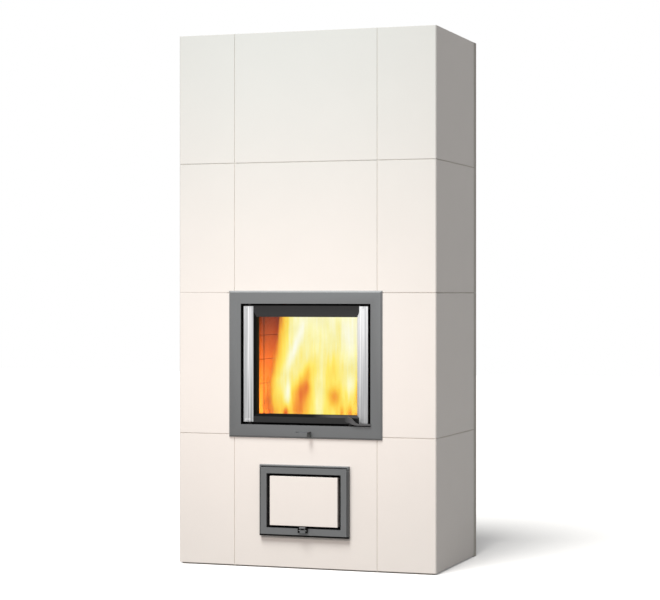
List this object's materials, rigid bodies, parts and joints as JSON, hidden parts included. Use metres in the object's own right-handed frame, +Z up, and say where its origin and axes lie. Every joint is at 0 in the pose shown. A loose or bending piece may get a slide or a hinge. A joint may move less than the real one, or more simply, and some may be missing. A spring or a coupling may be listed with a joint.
{
  "type": "tiled stove",
  "caption": "Free-standing tile-clad heat-retaining stove with a glazed fire door, an air slider and a lower ash hatch.",
  "frame": {"origin": "on the floor under the middle of the casing, on the base slab's bottom face", "axes": "+Z up, the fire door faces -Y, +X to the right of someone facing the door"},
  "size_m": [0.84, 0.5038, 1.66],
  "materials": {
    "glazed_tile": "smooth warm white tile, softly satin",
    "mortar": "fine beige-grey joint",
    "back_render": "plain untiled slab",
    "refractory": "cast refractory",
    "fire_brick": "sooted fire brick",
    "insulation": "calcium silicate board",
    "cast_iron": "matte black",
    "frame_paint": "satin mid grey",
    "leaf_paint": "satin dark grey",
    "brushed_steel": "brushed",
    "galvanised": "dull zinc",
    "seal_rope": "woven glass-fibre rope",
    "clear_glass": "clear ceramic glass"
  },
  "bodies": {
    "stove_body": {"casing_corner_left_1": "glazed_tile", "casing_corner_left_2": "glazed_tile", "casing_corner_left_3": "glazed_tile", "casing_corner_left_4": "glazed_tile", "casing_corner_right_1": "glazed_tile", "casing_corner_right_2": "glazed_tile", "casing_corner_right_3": "glazed_tile", "casing_corner_right_4": "glazed_tile", "casing_front_1": "glazed_tile", "casing_front_3": "glazed_tile", "casing_front_4": "glazed_tile", "mortar_bed_1": "mortar", "mortar_bed_2": "mortar", "mortar_bed_3": "mortar", "mortar_bed_4": "mortar", "back_slab_lower": "back_render", "back_slab_upper": "back_render", "cover_slab": "glazed_tile", "insulation_board": "insulation", "base_slab": "refractory", "ash_wall_left": "refractory", "ash_wall_right": "refractory", "ash_wall_back": "refractory", "firebox_floor": "fire_brick", "grate": "cast_iron", "firebox_wall_left_front": "fire_brick", "firebox_wall_left_rear": "fire_brick", "firebox_wall_right_front": "fire_brick", "firebox_wall_right_rear": "fire_brick", "firebox_wall_back": "fire_brick", "door_lintel": "fire_brick", "throat_slab": "refractory", "upper_wall_left": "refractory", "upper_wall_right": "refractory", "upper_wall_front": "refractory", "upper_wall_back": "refractory", "cap_slab": "refractory", "flue_collar": "cast_iron", "ash_pan": "galvanised", "door_frame": "frame_paint", "hinge_pin_lower": "galvanised", "hinge_pin_upper": "galvanised", "hatch_frame": "frame_paint", "hatch_pin_left": "galvanised", "hatch_pin_right": "galvanised"},
    "fire_door": {"door_leaf": "leaf_paint", "glass_gasket": "seal_rope", "door_glass": "clear_glass", "glass_retainer": "cast_iron", "door_seal": "seal_rope", "handle_strip_left": "brushed_steel", "handle_strip_right": "brushed_steel"},
    "latch": {"latch_lever": "leaf_paint"},
    "air_control": {"air_slider": "cast_iron"},
    "hatch_door": {"hatch_leaf": "frame_paint", "hatch_tile": "glazed_tile", "hatch_seal": "seal_rope", "catch_bracket": "frame_paint"},
    "catch": {"catch_thumb_plate": "frame_paint"}
  },
  "joints": [
    {"name": "fire_door_hinge", "type": "hinge", "parent": "stove_body", "child": "fire_door", "pos_m": [-0.188, -0.224, 0.6305], "axis": [0, 0, -1], "range_deg": [0, 115]},
    {"name": "latch_turn", "type": "hinge", "parent": "fire_door", "child": "latch", "pos_m": [0.141, -0.224, 0.463], "axis": [0, -1, 0], "range_deg": [0, 60]},
    {"name": "air_slide", "type": "slide", "parent": "stove_body", "child": "air_control", "axis": [1, 0, 0], "range_m": [-0.042, 0]},
    {"name": "hatch_hinge", "type": "hinge", "parent": "stove_body", "child": "hatch_door", "pos_m": [0, -0.248, 0.3064], "axis": [-1, 0, 0], "range_deg": [0, 100]},
    {"name": "catch_press", "type": "hinge", "parent": "hatch_door", "child": "catch", "pos_m": [0, -0.2608, 0.1205], "axis": [1, 0, 0], "range_deg": [0, 18], "stiffness_Nm_per_rad": 0.02, "springref_deg": -17.19}
  ]
}
